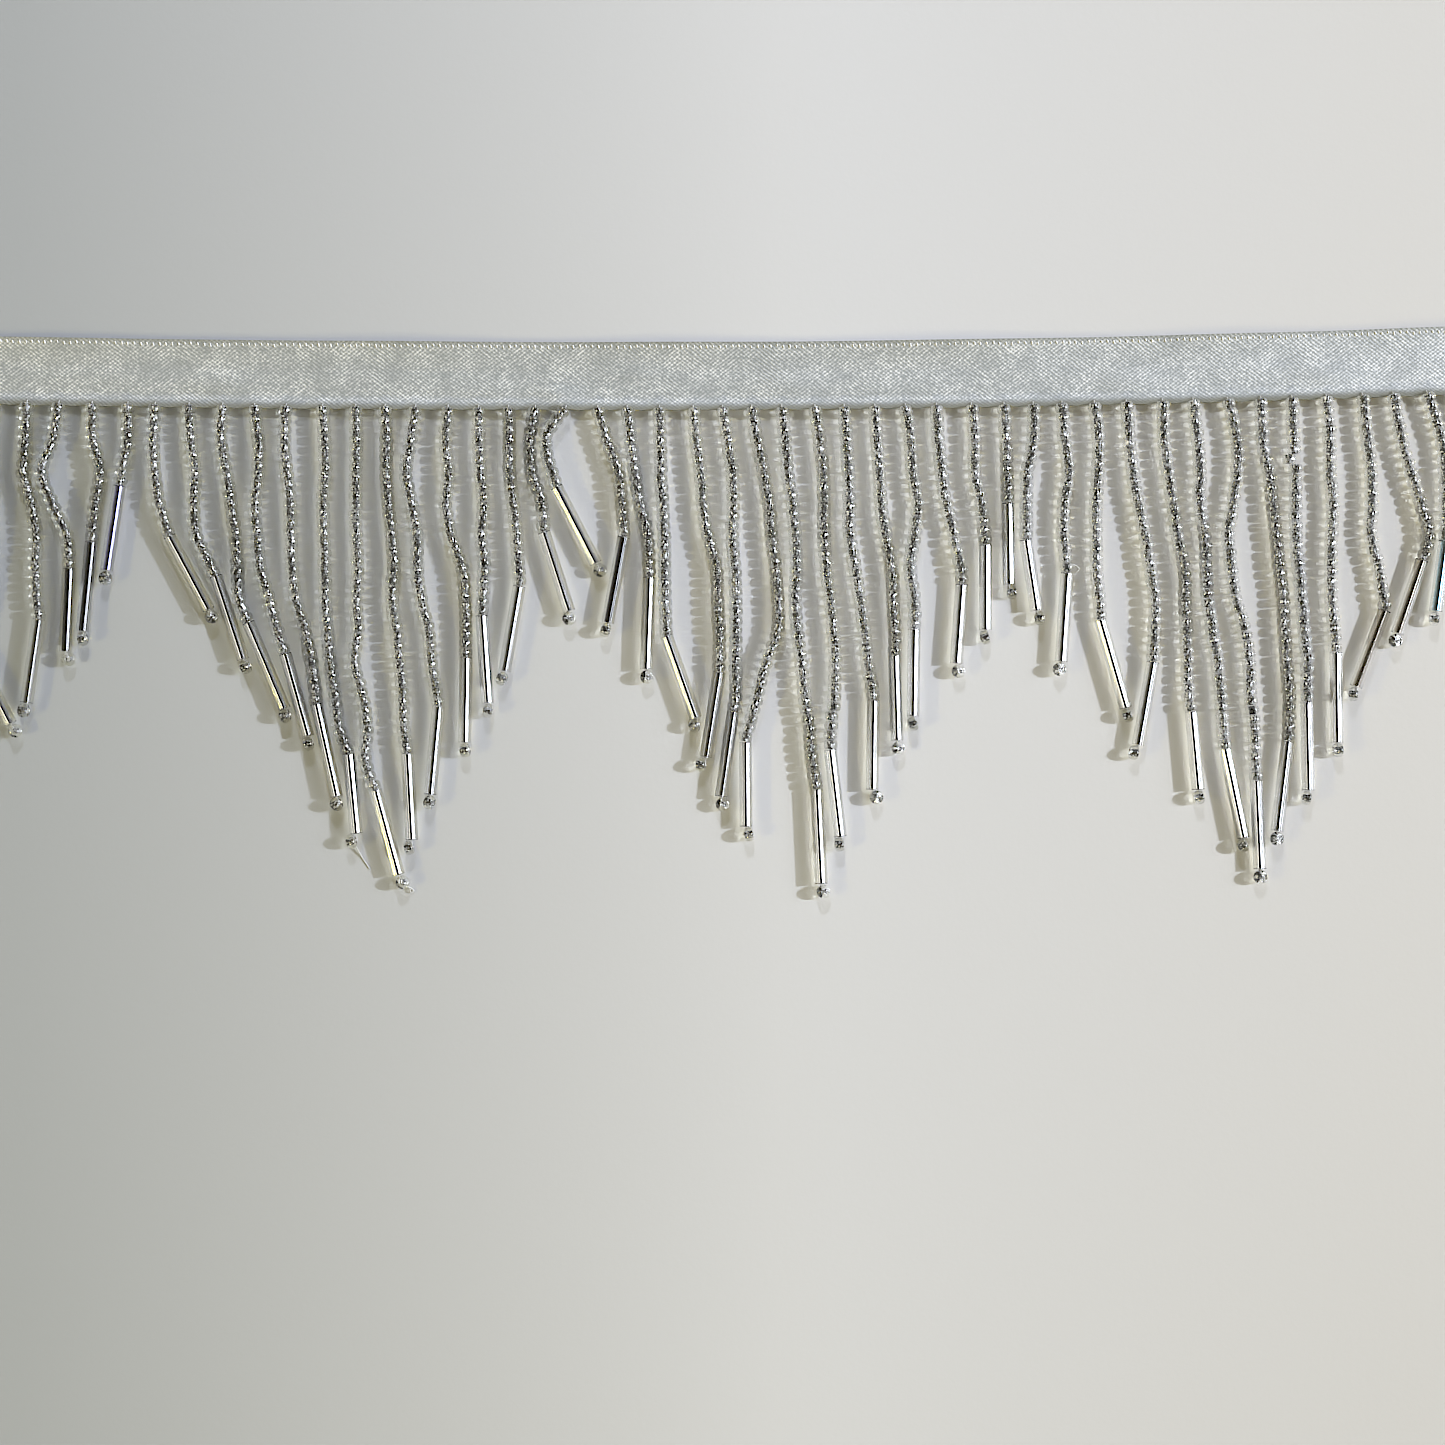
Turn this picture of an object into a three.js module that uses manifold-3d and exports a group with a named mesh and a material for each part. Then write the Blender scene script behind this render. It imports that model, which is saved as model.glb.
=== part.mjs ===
// Beaded fringe trim, laid out flat: a satin heading ribbon with 48 beaded strands sewn along its lower edge.
// Millimetres, +Z up. X runs along the ribbon and the strands run towards -Y. Everything rests on Z = 0.
import * as THREE from "three";
import { mergeVertices } from "three/addons/utils/BufferGeometryUtils.js";
import Module from "manifold-3d";

const wasm = await Module();
wasm.setup();

// Heading ribbon
const RIBBON_LEFT = -123;
const RIBBON_RIGHT = 121;
const RIBBON_WIDTH = 10.7;
const RIBBON_THICKNESS = 1.0;
const RIBBON_STEPS = 96;
const RIBBON_ROWS = 6;
const BOW_MIDDLE_X = -15;
const BOW_MIDDLE_Y = 5.0;
const BOW_LEFT = 0.00009;
const BOW_RIGHT = 0.000146;

// The upper edge stands a little clear of the surface, more at these waves: place along X, half length, height.
const EDGE_LIFT = 0.45;
const WAVES = [
  [-104, 13, 0.45],
  [-79, 9, 0.2],
  [-52, 16, 0.55],
  [-8, 14, 0.5],
  [36, 17, 0.6],
  [79, 12, 0.5],
  [110, 10, 0.45],
];

// Lower selvedge: the narrow strip that the strands are sewn to
const STRIP_WIDTH = 1.0;
const STRIP_THICKNESS = 1.0;
const SEAM_GAP = 0.3;
const SCALLOP = 0.35;

// Strands
const SEED_WIDTH = 2.1;
const BUGLE_WIDTH = 2.0;
const STRAND_HEIGHT = 2.1;
const WAIST_WIDTH = 1.2;
const WAIST_LENGTH = 0.25;
const END_BEAD_LENGTH = 1.7;
const ROOT_DEPTH = 0.7;
const SWAY_STEP = 5;
const COLUMN_STEP = 4;

// One row for each strand, from left to right. The columns are
//   root   where it leaves the ribbon, along X
//   drop   how far down the seed beads reach
//   end    how far sideways they end from the root
//   lean, reach   the bugle bead's run sideways and down from there
//   turn   how far sideways the end bead has slipped
//   sway   how far sideways the strand swings from the root, every 5 mm down
const STRANDS = [
  [-119.6, 45.5, -1.2, 1.2, 13.3, 0.0, [-0.1, 0.1, 0.5, 0.4, 0.1, -0.5, -1.0, -1.4]],
  [-114.4, 37.6, -3.5, 6.1, 11.9, 0.2, [-0.6, -1.0, -0.5, -0.7, -1.3, -2.1, -3.1]],
  [-109.2, 33.1, 1.8, -1.9, 13.1, -0.2, [-0.3, -0.6, 0.6, 1.4, 1.3, 1.5]],
  [-104.2, 25.1, 1.6, -0.6, 13.0, 0.6, [-1.0, -2.7, -1.0, 1.2]],
  [-99.0, 21.0, -0.1, -1.4, 13.9, 0.2, [0.2, 1.3, 0.5]],
  [-93.4, 12.1, -1.3, -2.0, 13.3, 0.0, [0.0]],
  [-89.1, 20.0, 2.2, 6.2, 11.6, -0.1, [-0.3, -0.1, 0.7]],
  [-83.8, 26.3, 4.2, 4.3, 13.1, 0.0, [0.3, 0.9, 0.8, 1.2]],
  [-78.5, 33.6, 4.0, 5.7, 13.5, -0.4, [-0.3, 0.6, 1.3, 2.0, 2.3, 2.6]],
  [-73.5, 38.5, 4.8, 3.6, 12.9, -0.3, [0.6, 0.6, 0.1, 0.4, 0.9, 2.3, 3.6]],
  [-68.5, 46.4, 4.7, 3.2, 14.5, -0.3, [-0.4, 0.1, 0.6, 0.7, 0.9, 1.5, 3.0, 4.0]],
  [-62.8, 54.3, 4.1, 1.2, 12.4, -0.9, [0.3, 0.4, 0.1, 0.2, 0.4, 0.4, 0.7, 1.2, 1.9, 2.5]],
  [-57.6, 59.9, 3.1, 3.6, 13.3, 0.3, [0.1, 0.0, 0.0, 0.1, 0.3, 0.1, 0.3, -0.2, 1.0, 1.8, 1.5]],
  [-53.0, 54.2, 3.5, 0.7, 13.5, -0.5, [0.2, 0.2, 0.5, 1.0, 1.4, 1.1, 1.8, 2.3, 2.8, 2.9]],
  [-48.2, 46.8, 3.6, -1.3, 13.8, 0.0, [-0.8, -1.5, -0.6, 0.2, 0.2, 0.9, 2.0, 2.5]],
  [-43.1, 39.1, 2.8, -0.2, 13.3, 0.1, [-0.4, 0.0, -0.3, 0.4, 2.2, 2.7, 2.8]],
  [-38.3, 32.5, 0.5, 0.9, 13.7, 0.0, [0.0, 0.3, 0.8, 0.4, 0.9]],
  [-33.6, 27.9, 1.7, -2.3, 13.3, -0.2, [0.1, 0.2, 0.7, 1.3, 1.6]],
  [-29.4, 19.4, 1.3, 4.0, 12.4, -0.4, [-0.9, -0.6, 1.0]],
  [-24.6, 12.3, -1.5, 6.2, 12.0, 0.1, [-3.2]],
  [-19.6, 20.2, 4.1, -2.5, 13.4, -0.1, [1.4, 3.2, 3.8]],
  [-15.0, 26.5, 3.5, -0.5, 14.4, 0.2, [0.6, 1.2, 2.0, 3.2]],
  [-9.9, 35.7, 1.1, 4.6, 12.9, -0.7, [0.1, 0.2, 0.5, 0.8, 0.8, 0.9]],
  [-4.6, 41.4, 4.1, -2.1, 13.3, -0.6, [0.5, 1.1, 1.5, 2.3, 3.6, 3.8, 4.1]],
  [0.0, 47.6, 1.7, -1.9, 13.3, 0.4, [0.8, 1.5, 1.7, 1.5, 1.9, 2.1, 2.1, 2.1, 2.1]],
  [4.6, 52.4, -1.0, 0.1, 13.2, 0.4, [0.8, 1.8, 2.7, 3.1, 3.7, 4.1, 4.1, 2.2, 0.9]],
  [9.3, 59.8, 5.5, 0.7, 14.8, 0.3, [0.5, 0.9, 1.7, 2.1, 2.3, 2.1, 2.5, 3.1, 3.5, 4.3, 4.7]],
  [14.5, 53.6, 2.4, 1.6, 13.6, -0.3, [0.7, 1.3, 1.4, 1.4, 1.8, 2.4, 2.9, 3.2, 3.1, 2.5]],
  [19.1, 45.8, 4.6, -0.2, 14.0, 0.7, [0.3, 0.7, 0.8, 0.9, 1.7, 2.5, 3.2, 3.7]],
  [23.9, 38.8, 3.1, 0.4, 13.3, 0.2, [0.3, 0.7, 1.0, 1.7, 2.6, 2.8, 3.1]],
  [28.7, 34.6, 1.4, -0.2, 13.7, 0.0, [0.8, 1.1, 1.9, 1.4, 0.7, 1.4]],
  [33.6, 27.6, 4.0, -0.9, 12.4, 0.5, [0.3, 0.8, 1.5, 2.7, 3.8]],
  [39.1, 21.4, 2.2, 0.0, 13.3, -0.1, [0.5, 0.5, 1.5]],
  [44.2, 14.9, 0.6, 0.2, 12.7, 0.4, [0.3, 0.4]],
  [48.8, 20.6, -1.2, 1.7, 11.1, 0.3, [0.0, -1.0, -1.1]],
  [53.3, 25.8, 0.8, -0.9, 13.9, -0.2, [0.4, 1.0, 0.3, 0.2]],
  [58.4, 33.2, 0.9, 4.0, 13.8, -0.1, [0.6, 0.5, 0.2, 0.3, 0.3, 0.7]],
  [63.4, 39.8, 4.2, -2.3, 13.0, -0.5, [0.4, 1.0, 1.8, 2.9, 3.7, 4.5, 4.4]],
  [69.1, 47.6, 4.5, 1.1, 12.2, 0.0, [0.2, 0.8, 1.6, 2.3, 3.3, 3.5, 3.7, 3.9, 4.0]],
  [73.9, 53.5, 5.0, 2.9, 13.9, -0.4, [0.7, 1.0, 1.0, 1.8, 2.0, 2.3, 3.0, 3.8, 4.3, 4.7]],
  [79.3, 58.5, 4.5, 0.6, 13.8, 0.0, [1.4, 1.5, 0.8, 0.1, 0.6, 1.2, 2.7, 3.4, 3.5, 4.1, 4.3]],
  [84.5, 52.2, 4.3, -1.7, 14.1, 0.1, [0.3, 1.3, 1.8, 2.4, 2.9, 3.5, 3.7, 4.0, 4.5]],
  [89.4, 46.1, 2.3, 0.3, 13.8, -0.3, [0.2, 0.6, 0.5, 0.6, 1.0, 1.5, 1.9, 2.4]],
  [94.8, 38.3, 1.5, 0.2, 14.1, 0.1, [0.5, 0.5, 1.0, 0.8, 0.7, 0.8, 1.2]],
  [100.5, 31.7, 3.5, -4.5, 12.0, 0.0, [0.7, 1.3, 1.4, 1.2, 2.4]],
  [105.3, 23.8, 4.6, -3.9, 11.5, 0.1, [1.3, 2.8, 4.3, 5.6]],
  [110.6, 20.8, 2.9, -1.5, 11.0, -0.1, [2.3, 2.8, 2.9]],
  [115.8, 9.5, 2.8, 0.3, 13.3, 0.0, [2.4]],
];

// Height along Y of the ribbon's middle line: it lies in a shallow bow.
function ribbonMiddle(x) {
  const away = x - BOW_MIDDLE_X;
  const bow = away < 0 ? BOW_LEFT : BOW_RIGHT;
  return BOW_MIDDLE_Y + bow * away * away;
}

function lowerEdge(x) {
  return ribbonMiddle(x) - RIBBON_WIDTH / 2;
}

function edgeLift(x) {
  let lift = EDGE_LIFT;
  for (const [place, halfLength, height] of WAVES) {
    lift += height * Math.exp(-(((x - place) / halfLength) ** 2));
  }
  return lift;
}

function asSolid(geometry) {
  const bare = geometry.clone();
  bare.deleteAttribute("normal");
  bare.deleteAttribute("uv");
  const merged = mergeVertices(bare, 1e-4);
  return new wasm.Manifold(
    new wasm.Mesh({
      numProp: 3,
      vertProperties: new Float32Array(merged.attributes.position.array),
      triVerts: new Uint32Array(merged.index.array),
    })
  );
}

function asGeometry(solid) {
  const mesh = solid.getMesh();
  const geometry = new THREE.BufferGeometry();
  geometry.setAttribute("position", new THREE.BufferAttribute(mesh.vertProperties, 3));
  geometry.setIndex(new THREE.BufferAttribute(mesh.triVerts, 1));
  geometry.computeVertexNormals();
  return geometry;
}

// The ribbon is a thin bar bent along the bow. Its lower half lies flat and its upper half curls up a little.
function ribbonGeometry() {
  const length = RIBBON_RIGHT - RIBBON_LEFT;
  const width = RIBBON_WIDTH - STRIP_WIDTH - SEAM_GAP;
  const bar = new THREE.BoxGeometry(length, width, RIBBON_THICKNESS, RIBBON_STEPS, RIBBON_ROWS, 1);
  const points = bar.attributes.position;
  for (let i = 0; i < points.count; i += 1) {
    const x = points.getX(i) + (RIBBON_LEFT + RIBBON_RIGHT) / 2;
    const across = points.getY(i) / width + 0.5;
    const curl = Math.max(0, across - 0.5) / 0.5;
    const y = lowerEdge(x) + STRIP_WIDTH + SEAM_GAP + across * width;
    const z = points.getZ(i) + RIBBON_THICKNESS / 2 + edgeLift(x) * curl ** 1.5;
    points.setXYZ(i, x, y, z);
  }
  bar.computeVertexNormals();
  return bar;
}

// Lower selvedge in plan: straight above, and drawn up at each root below.
function stripShape() {
  const below = [[RIBBON_LEFT, lowerEdge(RIBBON_LEFT)]];
  STRANDS.forEach(([root], i) => {
    below.push([root, lowerEdge(root) + SCALLOP]);
    if (i < STRANDS.length - 1) {
      const between = (root + STRANDS[i + 1][0]) / 2;
      below.push([between, lowerEdge(between)]);
    }
  });
  below.push([RIBBON_RIGHT, lowerEdge(RIBBON_RIGHT)]);
  const above = below.map(([x]) => [x, lowerEdge(x) + STRIP_WIDTH]).reverse();
  return new THREE.Shape([...below, ...above].map(([x, y]) => new THREE.Vector2(x, y)));
}

// Stations down one strand: place in plan and width there.
function strandStations([root, drop, end, lean, reach, turn, sway]) {
  const start = lowerEdge(root) + ROOT_DEPTH;
  const knots = [new THREE.Vector2(root, start)];
  sway.forEach((aside, i) => {
    knots.push(new THREE.Vector2(root + aside, -SWAY_STEP * (i + 1)));
  });
  const foot = new THREE.Vector2(root + end, -drop);
  knots.push(foot);
  const column = new THREE.SplineCurve(knots);
  const steps = Math.max(3, Math.round((drop + start) / COLUMN_STEP));
  const stations = column.getSpacedPoints(steps).map((place) => [place, SEED_WIDTH]);

  const along = new THREE.Vector2(lean, -reach);
  const bugleLength = along.length();
  along.normalize();
  const at = (distance) => foot.clone().addScaledVector(along, distance);
  stations.push([at(WAIST_LENGTH), WAIST_WIDTH]);
  stations.push([at(2 * WAIST_LENGTH), BUGLE_WIDTH]);
  stations.push([at(bugleLength), BUGLE_WIDTH]);
  stations.push([at(bugleLength + WAIST_LENGTH), WAIST_WIDTH]);
  const slipped = new THREE.Vector2(turn, 0);
  const bead = at(bugleLength + 2 * WAIST_LENGTH).add(slipped);
  const shoulder = END_BEAD_LENGTH / 4;
  stations.push([bead, WAIST_WIDTH]);
  stations.push([bead.clone().addScaledVector(along, shoulder), SEED_WIDTH]);
  stations.push([bead.clone().addScaledVector(along, END_BEAD_LENGTH - shoulder), SEED_WIDTH]);
  stations.push([bead.clone().addScaledVector(along, END_BEAD_LENGTH), WAIST_WIDTH]);
  return stations;
}

function strandShape(row) {
  const stations = strandStations(row);
  const left = [];
  const right = [];
  stations.forEach(([place, width], i) => {
    const before = stations[Math.max(0, i - 1)][0];
    const after = stations[Math.min(stations.length - 1, i + 1)][0];
    const along = after.clone().sub(before).normalize();
    const aside = new THREE.Vector2(-along.y, along.x).multiplyScalar(width / 2);
    left.push(place.clone().add(aside));
    right.push(place.clone().sub(aside));
  });
  return new THREE.Shape([...left, ...right.reverse()]);
}

function raised(shape, height) {
  return asSolid(new THREE.ExtrudeGeometry(shape, { depth: height, bevelEnabled: false }));
}

// Every strand is fused to the selvedge strip at its root and stands apart from its neighbours below.
function fringeGeometry() {
  let fringe = raised(stripShape(), STRIP_THICKNESS);
  for (const row of STRANDS) {
    fringe = fringe.add(raised(strandShape(row), STRAND_HEIGHT));
  }
  return asGeometry(fringe);
}

const satin = new THREE.MeshStandardMaterial({ color: 0xb9bcbd, roughness: 0.38, metalness: 0.25 });
const silverLinedGlass = new THREE.MeshStandardMaterial({ color: 0xd3d6d8, roughness: 0.12, metalness: 0.35 });

function piece(name, geometry, material) {
  const mesh = new THREE.Mesh(geometry, material);
  mesh.name = name;
  return mesh;
}

const trim = new THREE.Group();
trim.add(piece("ribbon", ribbonGeometry(), satin));
trim.add(piece("fringe", fringeGeometry(), silverLinedGlass));

// The origin is the middle of the laid-out trim, on the surface that it rests on.
const extent = new THREE.Box3().setFromObject(trim, true);
const middle = extent.getCenter(new THREE.Vector3());
trim.position.set(-middle.x, -middle.y, -extent.min.z);

export default trim;
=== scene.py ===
# %% [markdown]
# # A beaded fringe trim
# The trim is a narrow satin ribbon with strands of glass beads sewn along its lower edge. Each strand is
# a column of seed beads, one long bugle bead and one end bead that the thread turns round. The strands'
# lengths go up and down, so that their tips draw a zigzag. This lesson builds it bead by bead, as a
# beader would, from a short table of how each strand lies. All sizes are written in millimetres and
# turned into metres where a mesh is made.

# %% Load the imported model, which is the frame that everything is built in
import math

import bpy
import numpy as np
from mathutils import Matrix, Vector


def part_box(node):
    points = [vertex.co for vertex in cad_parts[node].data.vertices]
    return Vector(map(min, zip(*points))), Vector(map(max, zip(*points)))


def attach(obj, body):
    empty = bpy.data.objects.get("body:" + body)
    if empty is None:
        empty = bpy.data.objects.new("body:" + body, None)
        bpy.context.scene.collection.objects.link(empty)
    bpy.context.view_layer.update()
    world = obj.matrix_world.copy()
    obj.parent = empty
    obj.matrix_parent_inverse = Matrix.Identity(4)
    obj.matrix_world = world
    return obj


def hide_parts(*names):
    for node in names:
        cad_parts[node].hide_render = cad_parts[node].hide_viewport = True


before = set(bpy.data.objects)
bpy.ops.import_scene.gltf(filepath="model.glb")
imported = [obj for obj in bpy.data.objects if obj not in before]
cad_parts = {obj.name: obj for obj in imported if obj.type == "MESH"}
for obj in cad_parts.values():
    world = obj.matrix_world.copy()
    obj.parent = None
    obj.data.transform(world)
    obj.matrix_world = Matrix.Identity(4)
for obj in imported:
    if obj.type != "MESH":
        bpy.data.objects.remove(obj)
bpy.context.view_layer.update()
MM = 0.001

# %% [markdown]
# ## Sizes
# A beader thinks of a bead as a width, a length and a hole. These are the common sizes: seed beads 2.2
# mm wide that take up 1.48 mm of thread, and bugle beads 2 mm thick. The silver lining of the hole looks
# half as wide again as it is, because the round glass works as a magnifier, so it is modelled at its
# real width.

# %% Driving sizes, in millimetres
RIBBON_LEFT = -123.0
RIBBON_RIGHT = 121.0
RIBBON_WIDTH = 10.7
RIBBON_THICKNESS = 0.22
HEM_LIFT = 0.75
SEED_WIDTH = 2.2
SEED_PITCH = 1.48
SEED_HOLE = 0.5
BUGLE_WIDTH = 2.0
SEED_LINING = 0.68
BUGLE_HOLE = 0.6
BUGLE_LINING = 0.78
THREAD_WIDTH = 0.16
SWAY_STEP = 5.0

# %% [markdown]
# ## Where things are
# The ribbon lies in a shallow bow, so the places along its edges come from one formula. The strands are
# described from the ribbon's own zero, and the frame has its zero in the middle of the part, so one shift
# joins the two. The shift is read from the frame's own box and isn't typed in.

# %% The ribbon's bow, and the shift from the trim's own zero to the frame's
BOW_MIDDLE_X = -15.0
BOW_MIDDLE_Y = 5.0
BOW_LEFT = 0.00009
BOW_RIGHT = 0.000146


def ribbon_middle(x):
    """Height of the ribbon's middle line at x. It takes numbers and arrays."""
    away = np.asarray(x, float) - BOW_MIDDLE_X
    return BOW_MIDDLE_Y + np.where(away < 0, BOW_LEFT, BOW_RIGHT) * away**2


def lower_edge(x):
    return ribbon_middle(x) - RIBBON_WIDTH / 2


ribbon_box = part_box("ribbon")
SHIFT = np.array(
    [
        ribbon_box[0].x / MM - RIBBON_LEFT,
        ribbon_box[1].y / MM - float(ribbon_middle(RIBBON_RIGHT)) - RIBBON_WIDTH / 2,
        0.0,
    ]
)
print("shift, mm:", SHIFT.round(3))

# %% [markdown]
# ## Camera
# The trim lies on a surface and is seen from straight above. The camera's lens follows from two sizes:
# how wide the picture is at the surface, and how far away the camera hangs. The picture is square.

# %% The camera, straight above the trim
PICTURE_WIDTH = 227.6
PICTURE_MIDDLE = (0.0, -49.4)
CAMERA_HEIGHT = 330.0

camera = bpy.data.objects.new("camera", bpy.data.cameras.new("camera"))
bpy.context.scene.collection.objects.link(camera)
bpy.context.scene.camera = camera
camera.data.lens = camera.data.sensor_width * CAMERA_HEIGHT / PICTURE_WIDTH
camera.data.clip_start = 0.01
camera.location = (np.array([*PICTURE_MIDDLE, CAMERA_HEIGHT]) + SHIFT) * MM
print("lens, mm:", round(camera.data.lens, 1))

# %% [markdown]
# ## Materials in plain sums
# A shader is a sum over the surface, and it is easier to read as a sum than as boxes and wires. `Signal`
# wraps one output of a node and knows +, -, * and /. Each of those adds a Math node. `Finish` is a
# material in the making, and its one method `node` adds any other node: first its settings, then the
# values or links of its sockets.

# %% Signal and Finish
class Signal:
    """One output of a shader node, which can be used in sums."""

    def __init__(self, finish, socket):
        self.finish = finish
        self.socket = socket

    def maths(self, operation, *terms):
        return self.finish.maths(operation, *terms)

    def __add__(self, other):
        return self.maths("ADD", self, other)

    def __radd__(self, other):
        return self.maths("ADD", other, self)

    def __sub__(self, other):
        return self.maths("SUBTRACT", self, other)

    def __rsub__(self, other):
        return self.maths("SUBTRACT", other, self)

    def __mul__(self, other):
        return self.maths("MULTIPLY", self, other)

    def __rmul__(self, other):
        return self.maths("MULTIPLY", other, self)

    def __truediv__(self, other):
        return self.maths("DIVIDE", self, other)


class Finish:
    """A material in the making, or the world's light: a node tree and its shader."""

    def __init__(self, name, owner=None):
        self.owner = owner or bpy.data.materials.new(name)
        self.owner.use_nodes = True
        self.tree = self.owner.node_tree
        kept = "Background" if owner else "Principled BSDF"
        self.shader = self.tree.nodes[kept]

    def put(self, socket, value):
        if isinstance(value, Signal):
            self.tree.links.new(value.socket, socket)
        else:
            socket.default_value = value

    def node(self, kind, settings=None, sockets=None, output=0):
        made = self.tree.nodes.new(kind)
        for name, value in (settings or {}).items():
            setattr(made, name, value)
        for name, value in (sockets or {}).items():
            self.put(made.inputs[name], value)
        return Signal(self, made.outputs[output])

    def maths(self, operation, *terms):
        return self.node("ShaderNodeMath", {"operation": operation}, dict(enumerate(terms)))

    def mix(self, share, first, second):
        """A colour between two others."""
        return self.node(
            "ShaderNodeMix", {"data_type": "RGBA"}, {0: share, 6: first, 7: second}, output=2
        )

    def multiply(self, first, second):
        """One colour seen through another."""
        settings = {"data_type": "RGBA", "blend_type": "MULTIPLY"}
        return self.node("ShaderNodeMix", settings, {0: 1.0, 6: first, 7: second}, output=2)

    def bump(self, height, distance, strength=1.0):
        return self.node(
            "ShaderNodeBump", {}, {"Height": height, "Distance": distance, "Strength": strength}
        )

    def span(self, value, low, high, kind="LINEAR"):
        """0 where a value is at `low`, 1 where it is at `high`, and even or soft steps between."""
        sockets = {"Value": value, "From Min": low, "From Max": high}
        return self.node("ShaderNodeMapRange", {"interpolation_type": kind}, sockets, "Result")

    def axis(self, name, vector=None):
        """One of X, Y and Z of a vector, or of the point on the piece."""
        return self.node("ShaderNodeSeparateXYZ", {}, {"Vector": vector or self.place()}, name)

    def place(self):
        """The point on the piece, in metres."""
        return self.node("ShaderNodeTexCoord", output="Object")

    def noise(self, size, detail=2.0):
        """Soft noise from 0 to 1 whose lumps are about `size` metres wide."""
        sockets = {"Vector": self.place(), "Scale": 1 / size, "Detail": detail}
        return self.node("ShaderNodeTexNoise", {}, sockets)

    def attribute(self, name, output="Fac"):
        """A value that the mesh carries at its points."""
        return self.node("ShaderNodeAttribute", {"attribute_name": name}, output=output)

    def see_through(self, share, colour):
        """Mixes the shader with a clear one of a colour, by a share of 0 to 1."""
        solid = Signal(self, self.shader.outputs[0])
        clear = self.node("ShaderNodeBsdfTransparent", {}, {"Color": colour})
        mixed = self.node("ShaderNodeMixShader", {}, {0: share, 1: solid, 2: clear})
        self.put(self.tree.nodes["Material Output"].inputs["Surface"], mixed)

    def set(self, **values):
        """Sets the shader's sockets by name, with _ for a space."""
        for name, value in values.items():
            self.put(self.shader.inputs[name.replace("_", " ")], value)
        return self.owner


# %% [markdown]
# ## Glass
# The beads are clear glass with a thin lustre. A shader with full transmission bends the light as glass
# does, and that is what makes the lining look wide and gives each bead its bright and dark rings, so
# nothing of that is painted. Cycles doesn't find its way from a small lamp through bent glass, so glass
# would throw one dark shadow. In truth the upper half of a bead bends its light down beside the bead:
# the floor is bright close by and dark further out. So for the rays that look for a lamp the glass is
# clear low down and dark high up.

# %% Bead glass
SHADOW_CLEAR = 0.68
SHADOW_COLOUR = (1.0, 0.98, 0.85, 1.0)
CLEAR_BELOW = 1.2
DARK_ABOVE = 1.5


def bead_glass():
    glass = Finish("bead_glass")
    unevenness = glass.noise(0.7 * MM)
    tone = glass.mix(glass.attribute("age"), (1.0, 1.0, 1.0, 1), (0.96, 0.97, 0.95, 1))
    height = glass.axis("Z")
    low_down = glass.span(height, DARK_ABOVE * MM, CLEAR_BELOW * MM)
    for_lamps = glass.node("ShaderNodeLightPath", output="Is Shadow Ray")
    glass.see_through(SHADOW_CLEAR * low_down * for_lamps, SHADOW_COLOUR)
    return glass.set(
        Base_Color=tone,
        Roughness=0.01 + 0.03 * unevenness,
        Normal=glass.bump(unevenness, 0.01 * MM),
        Transmission_Weight=1.0,
        IOR=1.5,
        Coat_Weight=1.0,
        Coat_Roughness=0.1,
        Coat_IOR=1.65,
    )


GLASS = bead_glass()
print("finish:", GLASS.name)

# %% [markdown]
# ## Silver lining
# The hole of each bead is lined with silver. Its colour is painted reflection: round bright spots of silver
# stand for glints, and the dark between them stands in for the dark room that the silver mirrors. The
# spots could be modelled one by one, but a Voronoi pattern gives round spots of one size and costs no
# triangles. Every bead carries its own `age` from 0 to 1 and its own tint, and the finish reads both,
# so that no two linings match.

# %% Silver lining
GLINT_SPOT = 0.3
GLINT_UNTIL = 0.73
PAINTED_DARK_FROM = 0.84


def silver_lining():
    silver = Finish("bead_lining")
    age = silver.attribute("age")
    tint = silver.attribute("tint", output="Color")
    lumpiness = silver.noise(0.3 * MM)
    # Painted reflection: the silver spots stand for glints, and the dark between them for the dark room
    # mirrored
    spots = {"Vector": silver.place(), "Scale": 1 / (GLINT_SPOT * MM), "Randomness": 0.8}
    off_glint = silver.node("ShaderNodeTexVoronoi", {}, spots, "Distance")
    glint_distance = off_glint + 0.5 * lumpiness + 0.12 * age
    painted_dark = silver.span(glint_distance, GLINT_UNTIL, PAINTED_DARK_FROM, "SMOOTHSTEP")
    glints_and_painted_dark = silver.mix(painted_dark, (1.0, 1.0, 1.0, 1), (0.2, 0.198, 0.19, 1))
    return silver.set(
        Base_Color=silver.multiply(glints_and_painted_dark, tint),
        Metallic=1.0,
        Roughness=0.3,
        Normal=silver.bump(lumpiness, 0.03 * MM),
    )


LINING = silver_lining()


def bugle_silver():
    """The bugle beads' lining is smoother and only a little worn, and it takes the strand's tint."""
    silver = Finish("bugle_lining")
    lumpiness = silver.noise(0.5 * MM)
    shade = silver.mix(lumpiness, (0.96, 0.96, 0.97, 1), (0.7, 0.7, 0.71, 1))
    return silver.set(
        Base_Color=silver.multiply(shade, silver.attribute("tint", output="Color")),
        Metallic=1.0,
        Roughness=0.1 + 0.08 * lumpiness,
        Normal=silver.bump(lumpiness, 0.004 * MM),
    )


BUGLE_SILVER = bugle_silver()
print("finishes:", LINING.name, BUGLE_SILVER.name)

# %% [markdown]
# ## Thread's finish
# The strands are strung on fine grey thread, about two hairs thick. Its fibres could be modelled as
# twisted strands of their own, but at this size a fine noise in colour and relief looks the same.

# %% Sewing thread
def sewing_thread():
    thread = Finish("sewing_thread")
    fibres = thread.noise(0.05 * MM, detail=4.0)
    shade = thread.mix(fibres, (0.52, 0.51, 0.49, 1), (0.82, 0.81, 0.79, 1))
    return thread.set(Base_Color=shade, Roughness=0.55, Normal=thread.bump(fibres, 0.02 * MM))


THREAD = sewing_thread()
print("finish:", THREAD.name)

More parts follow.
